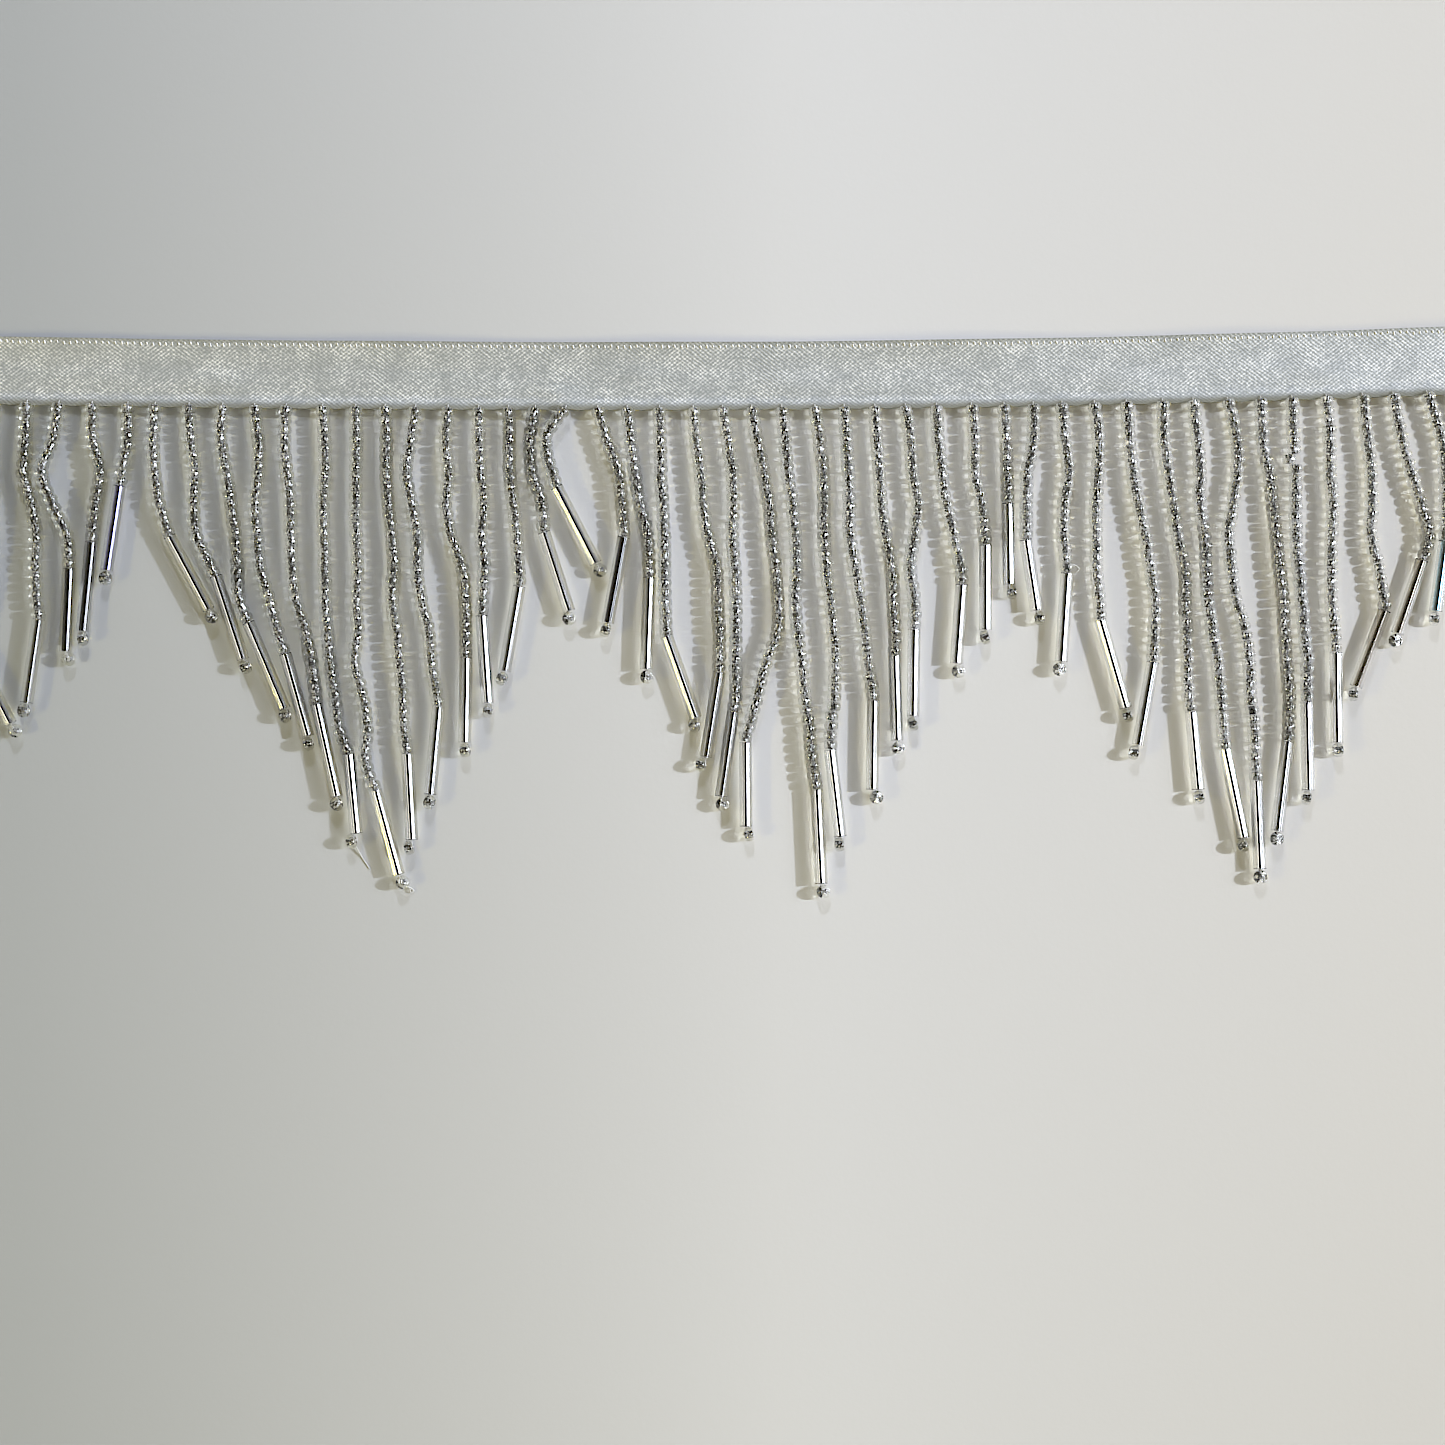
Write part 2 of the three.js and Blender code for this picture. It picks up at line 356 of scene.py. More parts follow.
# %% [markdown]
# ## How each strand lies
# Each row of the table is one strand, from left to right, and says what a ruler would say. `root` is
# where the strand leaves the ribbon. `drop` is how far down its seed beads reach, and `end` how far
# sideways they have gone by then. `lean` and `reach` are the bugle bead's run sideways and down. `turn`
# is how far sideways the end bead has slipped, and `hole` how far its hole is turned from straight up,
# in degrees. The list is the strand's swing sideways from its root, every 5 mm down.

# %% The strand table
STRANDS = [
    (-119.6, 45.5, -1.2, 1.2, 13.3, 0.0, 90, [-0.1, 0.1, 0.5, 0.4, 0.1, -0.5, -1.0, -1.4]),
    (-114.4, 37.6, -3.5, 6.1, 11.9, 0.2, 25, [-0.6, -1.0, -0.5, -0.7, -1.3, -2.1, -3.1]),
    (-109.2, 33.1, 1.8, -1.9, 13.1, -0.2, 75, [-0.3, -0.6, 0.6, 1.4, 1.3, 1.5]),
    (-104.2, 25.1, 1.6, -0.6, 13.0, 0.6, 20, [-1.0, -2.7, -1.0, 1.2]),
    (-99.0, 21.0, -0.1, -1.4, 13.9, 0.2, 90, [0.2, 1.3, 0.5]),
    (-93.4, 12.1, -1.3, -2.0, 13.3, 0.0, 70, [0.0]),
    (-89.1, 20.0, 2.2, 6.2, 11.6, -0.1, 30, [-0.3, -0.1, 0.7]),
    (-83.8, 26.3, 4.2, 4.3, 13.1, 0.0, 80, [0.3, 0.9, 0.8, 1.2]),
    (-78.5, 33.6, 4.0, 5.7, 13.5, -0.4, 75, [-0.3, 0.6, 1.3, 2.0, 2.3, 2.6]),
    (-73.5, 38.5, 4.8, 3.6, 12.9, -0.3, 90, [0.6, 0.6, 0.1, 0.4, 0.9, 2.3, 3.6]),
    (-68.5, 46.4, 4.7, 3.2, 14.5, -0.3, 70, [-0.4, 0.1, 0.6, 0.7, 0.9, 1.5, 3.0, 4.0]),
    (-62.8, 54.3, 4.1, 1.2, 12.4, -0.9, 85, [0.3, 0.4, 0.1, 0.2, 0.4, 0.4, 0.7, 1.2, 1.9, 2.5]),
    (-57.6, 59.9, 3.1, 3.6, 13.3, 0.3, 20, [0.1, 0.0, 0.0, 0.1, 0.3, 0.1, 0.3, -0.2, 1.0, 1.8, 1.5]),
    (-53.0, 54.2, 3.5, 0.7, 13.5, -0.5, 90, [0.2, 0.2, 0.5, 1.0, 1.4, 1.1, 1.8, 2.3, 2.8, 2.9]),
    (-48.2, 46.8, 3.6, -1.3, 13.8, 0.0, 70, [-0.8, -1.5, -0.6, 0.2, 0.2, 0.9, 2.0, 2.5]),
    (-43.1, 39.1, 2.8, -0.2, 13.3, 0.1, 80, [-0.4, 0.0, -0.3, 0.4, 2.2, 2.7, 2.8]),
    (-38.3, 32.5, 0.5, 0.9, 13.7, 0.0, 90, [0.0, 0.3, 0.8, 0.4, 0.9]),
    (-33.6, 27.9, 1.7, -2.3, 13.3, -0.2, 75, [0.1, 0.2, 0.7, 1.3, 1.6]),
    (-29.4, 19.4, 1.3, 4.0, 12.4, -0.4, 25, [-0.9, -0.6, 1.0]),
    (-24.6, 12.3, -1.5, 6.2, 12.0, 0.1, 15, [-3.2]),
    (-19.6, 20.2, 4.1, -2.5, 13.4, -0.1, 85, [1.4, 3.2, 3.8]),
    (-15.0, 26.5, 3.5, -0.5, 14.4, 0.2, 20, [0.6, 1.2, 2.0, 3.2]),
    (-9.9, 35.7, 1.1, 4.6, 12.9, -0.7, 70, [0.1, 0.2, 0.5, 0.8, 0.8, 0.9]),
    (-4.6, 41.4, 4.1, -2.1, 13.3, -0.6, 80, [0.5, 1.1, 1.5, 2.3, 3.6, 3.8, 4.1]),
    (0.0, 47.6, 1.7, -1.9, 13.3, 0.4, 15, [0.8, 1.5, 1.7, 1.5, 1.9, 2.1, 2.1, 2.1, 2.1]),
    (4.6, 52.4, -1.0, 0.1, 13.2, 0.4, 90, [0.8, 1.8, 2.7, 3.1, 3.7, 4.1, 4.1, 2.2, 0.9]),
    (9.3, 59.8, 5.5, 0.7, 14.8, 0.3, 20, [0.5, 0.9, 1.7, 2.1, 2.3, 2.1, 2.5, 3.1, 3.5, 4.3, 4.7]),
    (14.5, 53.6, 2.4, 1.6, 13.6, -0.3, 85, [0.7, 1.3, 1.4, 1.4, 1.8, 2.4, 2.9, 3.2, 3.1, 2.5]),
    (19.1, 45.8, 4.6, -0.2, 14.0, 0.7, 25, [0.3, 0.7, 0.8, 0.9, 1.7, 2.5, 3.2, 3.7]),
    (23.9, 38.8, 3.1, 0.4, 13.3, 0.2, 20, [0.3, 0.7, 1.0, 1.7, 2.6, 2.8, 3.1]),
    (28.7, 34.6, 1.4, -0.2, 13.7, 0.0, 85, [0.8, 1.1, 1.9, 1.4, 0.7, 1.4]),
    (33.6, 27.6, 4.0, -0.9, 12.4, 0.5, 15, [0.3, 0.8, 1.5, 2.7, 3.8]),
    (39.1, 21.4, 2.2, 0.0, 13.3, -0.1, 80, [0.5, 0.5, 1.5]),
    (44.2, 14.9, 0.6, 0.2, 12.7, 0.4, 90, [0.3, 0.4]),
    (48.8, 20.6, -1.2, 1.7, 11.1, 0.3, 75, [0.0, -1.0, -1.1]),
    (53.3, 25.8, 0.8, -0.9, 13.9, -0.2, 25, [0.4, 1.0, 0.3, 0.2]),
    (58.4, 33.2, 0.9, 4.0, 13.8, -0.1, 80, [0.6, 0.5, 0.2, 0.3, 0.3, 0.7]),
    (63.4, 39.8, 4.2, -2.3, 13.0, -0.5, 90, [0.4, 1.0, 1.8, 2.9, 3.7, 4.5, 4.4]),
    (69.1, 47.6, 4.5, 1.1, 12.2, 0.0, 85, [0.2, 0.8, 1.6, 2.3, 3.3, 3.5, 3.7, 3.9, 4.0]),
    (73.9, 53.5, 5.0, 2.9, 13.9, -0.4, 70, [0.7, 1.0, 1.0, 1.8, 2.0, 2.3, 3.0, 3.8, 4.3, 4.7]),
    (79.3, 58.5, 4.5, 0.6, 13.8, 0.0, 20, [1.4, 1.5, 0.8, 0.1, 0.6, 1.2, 2.7, 3.4, 3.5, 4.1, 4.3]),
    (84.5, 52.2, 4.3, -1.7, 14.1, 0.1, 25, [0.3, 1.3, 1.8, 2.4, 2.9, 3.5, 3.7, 4.0, 4.5]),
    (89.4, 46.1, 2.3, 0.3, 13.8, -0.3, 75, [0.2, 0.6, 0.5, 0.6, 1.0, 1.5, 1.9, 2.4]),
    (94.8, 38.3, 1.5, 0.2, 14.1, 0.1, 90, [0.5, 0.5, 1.0, 0.8, 0.7, 0.8, 1.2]),
    (100.5, 31.7, 3.5, -4.5, 12.0, 0.0, 75, [0.7, 1.3, 1.4, 1.2, 2.4]),
    (105.3, 23.8, 4.6, -3.9, 11.5, 0.1, 20, [1.3, 2.8, 4.3, 5.6]),
    (110.6, 20.8, 2.9, -1.5, 11.0, -0.1, 80, [2.3, 2.8, 2.9]),
    (115.8, 9.5, 2.8, 0.3, 13.3, 0.0, 90, [2.4]),
]
print("strands:", len(STRANDS))

# %% [markdown]
# ## A strand's line
# A thread with beads on it bends softly, so its line is a smooth curve through the measured places.
# Walking along the curve in equal steps of its own length gives each bead its place and its direction.

# %% Smooth lines, and walking along them
def smooth_line(knots, steps=12):
    """Closely spaced points on a smooth curve through the knots."""
    knots = np.array(knots, float)
    held = np.vstack([knots[0], knots, knots[-1]])
    share = np.linspace(0, 1, steps, endpoint=False)[:, None]
    points = []
    for before, here, there, after in zip(held, held[1:], held[2:], held[3:]):
        leaving = (there - before) / 2
        coming = (after - here) / 2
        cubic = (2 * here - 2 * there + leaving + coming) * share**3
        square = (3 * there - 3 * here - 2 * leaving - coming) * share**2
        points.append(cubic + square + leaving * share + here)
    return np.vstack([*points, knots[-1]])


def walk(line, distances):
    """Points at these distances along a line, and its direction at each."""
    steps = np.linalg.norm(np.diff(line, axis=0), axis=1)
    gone = np.concatenate([[0.0], np.cumsum(steps)])

    def at(distance):
        return np.stack([np.interp(distance, gone, line[:, axis]) for axis in range(line.shape[1])], 1)

    distances = np.asarray(distances, float)
    ahead = at(distances + 0.2) - at(distances - 0.2)
    return at(distances), ahead / np.linalg.norm(ahead, axis=1)[:, None]


def line_length(line):
    return float(np.linalg.norm(np.diff(line, axis=0), axis=1).sum())


print("a corner, smoothed, mm:", round(line_length(smooth_line([(0, 0), (5, 0), (5, 5)])), 2))


# %% [markdown]
# ## From a strand's row to its beads
# One function turns a row of the table into places: a centre, a direction and a length for every bead.
# The seed beads lie on the surface, so their centres are half a bead above it. The first one stands
# against the ribbon's edge, which its thread holds up.

# %% Bead places on every strand
FIRST_BEAD_TOP = 0.4
BUGLE_GAP = 0.06
END_GAP = 0.12


def strand_places(row):
    """Plan places of one strand: its seeds and their ways, the bugle's two ends and the end bead."""
    root, drop, end, lean, reach, turn, hole, sway = row
    knots = [(root, float(lower_edge(root)) + FIRST_BEAD_TOP)]
    knots += [(root + aside, -SWAY_STEP * (i + 1)) for i, aside in enumerate(sway)]
    foot = np.array([root + end, -drop])
    line = smooth_line([*knots, foot])
    length = line_length(line)
    count = round(length / SEED_PITCH)
    seeds, ways = walk(line, (np.arange(count) + 0.5) * length / count)
    along = np.array([lean, -reach])
    bugle_length = float(np.linalg.norm(along))
    along /= bugle_length
    bugle = np.array([foot + along * BUGLE_GAP, foot + along * (bugle_length + END_GAP)])
    stop = foot + along * (bugle_length + 2 * END_GAP + SEED_WIDTH / 2) + (turn, 0)
    return {
        "line": line,
        "pitch": length / count,
        "seeds": seeds,
        "ways": ways,
        "along": along,
        "bugle": bugle,
        "stop": stop,
        "hole": math.radians(hole),
    }


places = [strand_places(row) for row in STRANDS]
print("seed beads:", sum(len(place["seeds"]) for place in places))

# %% [markdown]
# ## Making many beads at once
# A thousand objects would be slow, and Blender is quick with big arrays. So one bead is described once
# as an array of points and an array of four-sided faces, and `copies` lays that pattern down at every
# place in one multiplication. The result is one joined mesh, and each bead in it is still a closed body
# of its own.

# %% Ring patterns, copies and meshes
def rounding(angle, power):
    """Radius of a rounded square at an angle: power 2 is a circle, and a higher one has flatter sides."""
    return (np.abs(np.cos(angle)) ** power + np.abs(np.sin(angle)) ** power) ** (-1 / power)


def ring_pattern(section, sides, power=2.0, twist=0.0):
    """Turns a closed section of (radius, height) points round the Z axis, with a twist per millimetre."""
    section = np.array(section, float)
    angle = np.arange(sides) * 2 * math.pi / sides
    radius = np.outer(rounding(angle, power), section[:, 0])
    height = np.outer(np.ones(sides), section[:, 1])
    turned = angle[:, None] + twist * height
    points = np.stack([radius * np.cos(turned), radius * np.sin(turned), height], axis=2)
    i, j = np.meshgrid(np.arange(sides), np.arange(len(section)), indexing="ij")
    right, up = (i + 1) % sides, (j + 1) % len(section)
    row = len(section)
    faces = np.stack([i * row + j, right * row + j, right * row + up, i * row + up], axis=2)
    return points.reshape(-1, 3), faces.reshape(-1, 4)


def bent_section(hole, width, length, points, power):
    """The section of a bead's wall: an oval that is squared off a little, from the hole to the outside."""
    angle = np.arange(points) * 2 * math.pi / points
    wide = rounding(angle, power)
    radius = (width + hole) / 4 + (width - hole) / 4 * wide * np.cos(angle)
    return np.stack([radius, length / 2 * wide * np.sin(angle)], axis=1)


def turned_frame(way, roll):
    """Axes of a bead whose thread runs along `way`: two across, rolled by an angle, and the way itself."""
    way = np.array(way, float) / np.linalg.norm(way)
    flat = np.cross(way, (0, 0, 1.0))
    if np.linalg.norm(flat) < 1e-3:
        flat = np.array([1.0, 0, 0])
    flat /= np.linalg.norm(flat)
    rising = np.cross(way, flat)
    first = flat * math.cos(roll) + rising * math.sin(roll)
    return np.stack([first, np.cross(way, first), way], axis=1)


def copies(pattern, spots):
    """Lays a pattern down at many spots. A spot has a centre, axes and a stretch of each axis."""
    points, faces = pattern
    laid = np.concatenate([(points * spot["size"]) @ spot["axes"].T + spot["centre"] for spot in spots])
    starts = np.arange(len(spots))[:, None, None] * len(points)
    return laid, (faces[None] + starts).reshape(-1, 4)


def mesh_piece(name, points, faces, material, smooth_angle=None):
    """A new object from arrays of points, in millimetres, and four-sided faces."""
    mesh = bpy.data.meshes.new(name)
    mesh.vertices.add(len(points))
    mesh.vertices.foreach_set("co", ((points + SHIFT) * MM).astype(np.float32).ravel())
    mesh.loops.add(faces.size)
    mesh.loops.foreach_set("vertex_index", faces.astype(np.int32).ravel())
    mesh.polygons.add(len(faces))
    mesh.polygons.foreach_set("loop_start", np.arange(0, faces.size, 4, dtype=np.int32))
    mesh.update(calc_edges=True)
    mesh.validate()
    mesh.shade_smooth()
    if smooth_angle:
        mesh.set_sharp_from_angle(angle=math.radians(smooth_angle))
    mesh.materials.append(material)
    piece = bpy.data.objects.new(name, mesh)
    bpy.context.scene.collection.objects.link(piece)
    return piece


def carry(piece, name, values, per_spot):
    """Gives every point of every copy its spot's value: a number, or a colour."""
    values = np.repeat(np.asarray(values, np.float32), per_spot, axis=0)
    colour = values.ndim == 2
    held = piece.data.attributes.new(name, "FLOAT_COLOR" if colour else "FLOAT", "POINT")
    held.data.foreach_set("color" if colour else "value", values.ravel())


def belongs(piece, slot, *nodes):
    """A piece of the trim: it rides on the part and may stand for CAD nodes, which it hides. Its slot is
    not used.
    """
    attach(piece, "root")
    if nodes:
        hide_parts(*nodes)
    sides = sum(len(face.vertices) - 2 for face in piece.data.polygons)
    print(f"{piece.name}: {sides} triangles")
    return piece


# %% [markdown]
# ## Seed beads
# A seed bead is a slice of glass tube whose edges were rounded in the fire. No two are alike: they
# differ by a few hundredths in width and length, sit a little crooked on the thread and are rolled any
# way round. A fixed seed for the random numbers gives the same beads each time.

# %% Every seed bead's spot
draw = np.random.default_rng(48)
CROOKED = math.radians(5)
WIDTH_SPREAD = 0.02
SLIP = 0.04


def seed_spots(place):
    """Centre, axes and size of each seed bead of one strand."""
    spots = []
    for centre, way in zip(place["seeds"], place["ways"]):
        wide = float(np.clip(draw.normal(1.0, WIDTH_SPREAD), 0.95, 1.01))
        long = place["pitch"] / SEED_PITCH * draw.uniform(0.94, 1.0)
        aside, lift = draw.normal(0, CROOKED / 2, 2)
        height = wide * SEED_WIDTH / 2
        across = np.array([-way[1], way[0]])
        tilted = np.array([*(way + across * aside), lift])
        spots.append(
            {
                "centre": np.array([*(centre + across * draw.normal(0, SLIP)), height]),
                "axes": turned_frame(tilted, draw.uniform(0, 2 * math.pi)),
                "size": (wide, wide, long),
                "age": draw.uniform(0, 1) ** 1.5,
            }
        )
    return spots


seeds = [seed_spots(place) for place in places]
print("first bead's centre, mm:", seeds[0][0]["centre"].round(2))

# %% [markdown]
# ## The odd ones
# Handmade trim has its odd beads. One bead in this one never got its lining, and one has been knocked
# sideways. A few bugle beads come from other batches, with slightly violet, brown or blue linings, and
# three have darker linings.

# %% Odd seed beads, and odd bugle beads by strand
PLAIN_TINT = (1.0, 1.0, 1.0, 1.0)
UNLINED_TINT = (0.22, 0.22, 0.21, 1.0)
# Odd seed beads: strand, height, shift sideways, tint
ODD_SEEDS = [
    (40, -48.0, 0.0, UNLINED_TINT),
    (42, -8.8, -0.9, PLAIN_TINT),
]
VIOLET = (0.72, 0.7, 1.0, 1.0)
BROWN = (0.88, 0.82, 0.73, 1.0)
BLUE = (0.7, 0.9, 1.0, 1.0)
DARK_LINING = (0.3, 0.3, 0.31, 1.0)
ODD_BUGLES = {3: DARK_LINING, 4: DARK_LINING, 5: VIOLET, 20: DARK_LINING, 44: BROWN, 45: BROWN, 46: BLUE}

for strand, height, aside, tint in ODD_SEEDS:
    odd = min(seeds[strand], key=lambda spot: abs(spot["centre"][1] - height))
    odd["centre"] = odd["centre"] + (aside, 0.0, 0.0)
    odd["tint"] = tint
    print("odd bead at, mm:", odd["centre"].round(1))

# %% [markdown]
# ## End beads
# The end bead stops the thread. The thread comes out of the bugle bead, goes through the end bead and
# turns back up the strand. So the bead ends up crosswise, with its hole to the side or, where it has
# tipped over, facing up.

# %% Every end bead's spot
def end_spot(place):
    """The end bead lies with its hole across the strand or, where the table's angle is small, facing up."""
    along = place["along"]
    across = np.array([-along[1], along[0], 0.0])
    yaw = draw.normal(0, 0.2)
    across[:2] += along * yaw
    tip = place["hole"]
    axis = across * math.sin(tip) + np.array([0, 0, math.cos(tip)])
    axis /= np.linalg.norm(axis)
    half_long = SEED_PITCH / 2
    height = SEED_WIDTH / 2 * math.sqrt(1 - axis[2] ** 2) + half_long * abs(axis[2])
    height = min(height, SEED_WIDTH / 2)
    return {
        "centre": np.array([*place["stop"], height]),
        "axes": turned_frame(axis, draw.uniform(0, 2 * math.pi)),
        "size": (1.0, 1.0, 0.98),
        "age": draw.uniform(0, 1),
    }


ends = [end_spot(place) for place in places]
print("end beads:", len(ends))

# %% [markdown]
# ## Making the seed beads
# The beads are joined in four pieces, so that none is too heavy to handle. The lining is a squarish tube
# with a thin wall that twists a little and flares at both ends, where it follows the mouth of the hole.
# It is a little wider than the glass's own hole, so light in the glass meets silver and no air. It
# throws no shadow of its own, because the glass already throws the whole bead's.

# %% Seed beads and their linings
STRANDS_A_PIECE = 12
SEED_LONG = 1.42
LINING_INSIDE = 0.4
LINING_FLARE = 0.16
LINING_LONG = 1.2


def flared_section(inner, outer, flare, length):
    """The section of a thin tube whose ends open like a trumpet's."""
    half = length / 2
    return [
        (outer / 2 + flare / 2, -half),
        (outer / 2, -half * 0.55),
        (outer / 2, half * 0.55),
        (outer / 2 + flare / 2, half),
        (inner / 2, half),
        (inner / 2, -half),
    ]


bead_wall = bent_section(SEED_HOLE, SEED_WIDTH, SEED_LONG, points=12, power=2.2)
bead_pattern = ring_pattern(bead_wall, sides=16)
lining_wall = flared_section(LINING_INSIDE, SEED_LINING, LINING_FLARE, LINING_LONG)
lining_pattern = ring_pattern(lining_wall, sides=12, power=5.0, twist=0.5)


def beads_piece(name, pattern, spots, material):
    piece = mesh_piece(name, *copies(pattern, spots), material)
    carry(piece, "age", [spot["age"] for spot in spots], len(pattern[0]))
    tints = [spot.get("tint", PLAIN_TINT) for spot in spots]
    carry(piece, "tint", tints, len(pattern[0]))
    return piece


for start in range(0, len(STRANDS), STRANDS_A_PIECE):
    stop = start + STRANDS_A_PIECE
    spots = sum(seeds[start:stop], []) + ends[start:stop]
    name = f"seed_beads_{start // STRANDS_A_PIECE + 1}"
    belongs(beads_piece(name, bead_pattern, spots, GLASS), "bead_glass", "fringe")

all_spots = sum(seeds, []) + ends
linings = beads_piece("seed_linings", lining_pattern, all_spots, LINING)
linings.visible_shadow = False
belongs(linings, "bead_lining")

# %% [markdown]
# ## Bugle beads
# A bugle bead is an uncut length of the same glass tube, with its ends snapped off square and not
# rounded. It is made from its own length, so that its chamfered ends stay true, and not stretched from a
# short bead.

# %% Bugle beads and their linings
END_CHAMFER = 0.08
BUGLE_LINING_INSIDE = 0.5
LINING_INSET = 0.1


def tube_section(hole, width, length, chamfer):
    """A straight tube's wall with small chamfers, as a closed section."""
    inner, outer, half = hole / 2, width / 2, length / 2
    return [
        (inner, -half),
        (outer - chamfer, -half),
        (outer, -half + chamfer),
        (outer, half - chamfer),
        (outer - chamfer, half),
        (inner, half),
    ]


def bugle_tubes(name, hole, width, inset, sides, material):
    """One joined mesh of every strand's tube, each at its own length."""
    points, faces, tints = [], [], []
    count = 0
    for strand, place in enumerate(places):
        tint = ODD_BUGLES.get(strand, PLAIN_TINT)
        first, last = place["bugle"]
        length = float(np.linalg.norm(last - first)) - 2 * inset
        chamfer = min(END_CHAMFER, (width - hole) / 6)
        pattern = ring_pattern(tube_section(hole, width, length, chamfer), sides)
        middle = (first + last) / 2
        spot = {
            "centre": np.array([*middle, BUGLE_WIDTH / 2]),
            "axes": turned_frame([*place["along"], 0], draw.uniform(0, 2 * math.pi)),
            "size": (1, 1, 1),
        }
        laid, turned = copies(pattern, [spot])
        points.append(laid)
        faces.append(turned + count)
        count += len(laid)
        tints.append(np.tile(tint, (len(laid), 1)))
    piece = mesh_piece(name, np.concatenate(points), np.concatenate(faces), material, smooth_angle=35)
    carry(piece, "tint", np.concatenate(tints), 1)
    return piece


bugle_beads = bugle_tubes("bugle_beads", BUGLE_HOLE, BUGLE_WIDTH, 0, sides=28, material=GLASS)
belongs(bugle_beads, "bead_glass", "fringe")
bugle_linings = bugle_tubes(
    "bugle_linings",
    BUGLE_LINING_INSIDE,
    BUGLE_LINING,
    LINING_INSET,
    sides=20,
    material=BUGLE_SILVER,
)
bugle_linings.visible_shadow = False
belongs(bugle_linings, "bead_lining")

# %% [markdown]
# ## Thread
# One thread runs down each strand, round the end bead and back. Most of it is hidden in the holes. It
# shows at the root, where it is sewn through the ribbon, between crooked beads, and where it turns at
# the tip. A curve with a round bevel would draw it too, but six-sided tubes in one joined mesh are lighter
# and are made with the same helpers as the beads.

# %% Tubes along lines
TUBE_SIDES = 6
TUBE_CAP = np.array([[0, 3, 2, 1], [0, 5, 4, 3]])
TUBE_PINCH = 0.15


def tube(line, width):
    """Points and faces of a six-sided thread along a line, pinched and closed at both ends."""
    line = np.asarray(line, float)
    ahead = np.gradient(line, axis=0)
    ahead /= np.linalg.norm(ahead, axis=1)[:, None]
    aside = np.cross(ahead, (0.0, 0.0, 1.0))
    upright = np.linalg.norm(aside, axis=1) < 1e-3
    aside[upright] = (1.0, 0.0, 0.0)
    aside /= np.linalg.norm(aside, axis=1)[:, None]
    rising = np.cross(ahead, aside)
    half = np.full(len(line), width / 2)
    half[[0, -1]] *= TUBE_PINCH
    angle = np.arange(TUBE_SIDES) * 2 * math.pi / TUBE_SIDES
    round_line = aside[:, None] * np.cos(angle)[:, None] + rising[:, None] * np.sin(angle)[:, None]
    rings = line[:, None] + round_line * half[:, None, None]
    i, j = np.meshgrid(np.arange(len(line) - 1), np.arange(TUBE_SIDES), indexing="ij")
    here, there = i * TUBE_SIDES, (i + 1) * TUBE_SIDES
    beside = (j + 1) % TUBE_SIDES
    walls = np.stack([here + j, here + beside, there + beside, there + j], 2).reshape(-1, 4)
    last_cap = TUBE_CAP[:, ::-1] + (len(line) - 1) * TUBE_SIDES
    return rings.reshape(-1, 3), np.vstack([walls, TUBE_CAP, last_cap])


def joined(parts):
    """Several point and face arrays as one."""
    starts = np.cumsum([0] + [len(points) for points, _ in parts[:-1]])
    points = np.concatenate([points for points, _ in parts])
    return points, np.concatenate([faces + start for (_, faces), start in zip(parts, starts)])


# %% The thread of every strand
SEWN_IN = 0.45
SEWN_SHARE = 0.7
SEWN_SUNK = 0.04
OVER_EDGE = 0.1


def strand_thread(place, spots, end):
    """The thread out of the ribbon's face, over its edge, down the beads and round the end bead."""
    root = place["line"][0]
    centres = [spot["centre"] for spot in spots]
    start = [
        (root[0], root[1] + SEWN_IN, SEWN_SHARE * HEM_LIFT + RIBBON_THICKNESS - SEWN_SUNK),
        (root[0], root[1] + OVER_EDGE, HEM_LIFT + RIBBON_THICKNESS + OVER_EDGE),
    ]
    middle = [np.array([*point, BUGLE_WIDTH / 2]) for point in place["bugle"]]
    axis = end["axes"][:, 2]
    half = axis * (SEED_PITCH / 2 + 0.02)
    ring = [end["centre"] + half * 1.05, end["centre"], end["centre"] - half * 1.05]
    back = middle[1] + (ring[2] - middle[1]) * 0.5
    return smooth_line([*start, *centres, *middle, *ring, back, middle[1]], steps=4)


def laid_tube(line):
    """A thread that nowhere sinks into the surface."""
    line = np.array(line, float)
    line[:, 2] = np.maximum(line[:, 2], THREAD_WIDTH / 2)
    return tube(line, THREAD_WIDTH)


# %% Loose ends: a long tail, a small knot and a slack loop beside three of the strands
LOOSE_ENDS = [
    [(-58.4, -67.4, 1.2), (-57.6, -69.0, 0.5), (-56.6, -70.9, 0.12), (-55.5, -72.5, 0.1)],
    [
        (-49.9, -75.0, 0.9),
        (-49.0, -75.5, 0.3),
        (-48.6, -75.9, 0.2),
        (-49.1, -76.1, 0.3),
        (-49.2, -75.5, 0.4),
    ],
    [(54.3, -25.4, 1.3), (55.3, -24.8, 1.5), (55.9, -25.4, 1.3), (55.2, -26.1, 1.1), (54.3, -25.9, 1.1)],
]

threads = [laid_tube(strand_thread(*each)) for each in zip(places, seeds, ends)]
threads += [laid_tube(smooth_line(knots, steps=5)) for knots in LOOSE_ENDS]
belongs(mesh_piece("strand_threads", *joined(threads), THREAD), "sewing_thread")

# %% [markdown]
# ## Ribbon
# Ribbon is woven as one flat strip. Here it lies face up. Its lower edge hangs on the threads, about
# 0.75 mm off the surface, and its upper edge curls clear of it in long soft waves. The stitches also
# draw the lower edge in at each root. Cloth physics would find such waves by itself, but not these ones,
# so the ribbon is a grid whose height is a formula. The grid has two columns to each float of the satin,
# and every second point stands a hair higher, which is the weave.

# %% The ribbon's waves
SEAM = 1.3
HEM_WIDE = 2.2
EDGE_LIFT = 0.45
SCALLOP = 0.2
SCALLOP_HALF = 1.3
SCALLOP_DEEP = 3.0
# Waves: place along, half length, height
WAVES = [
    (-104, 13, 0.45),
    (-79, 9, 0.2),
    (-52, 16, 0.55),
    (-8, 14, 0.5),
    (36, 17, 0.6),
    (79, 12, 0.5),
    (110, 10, 0.45),
]
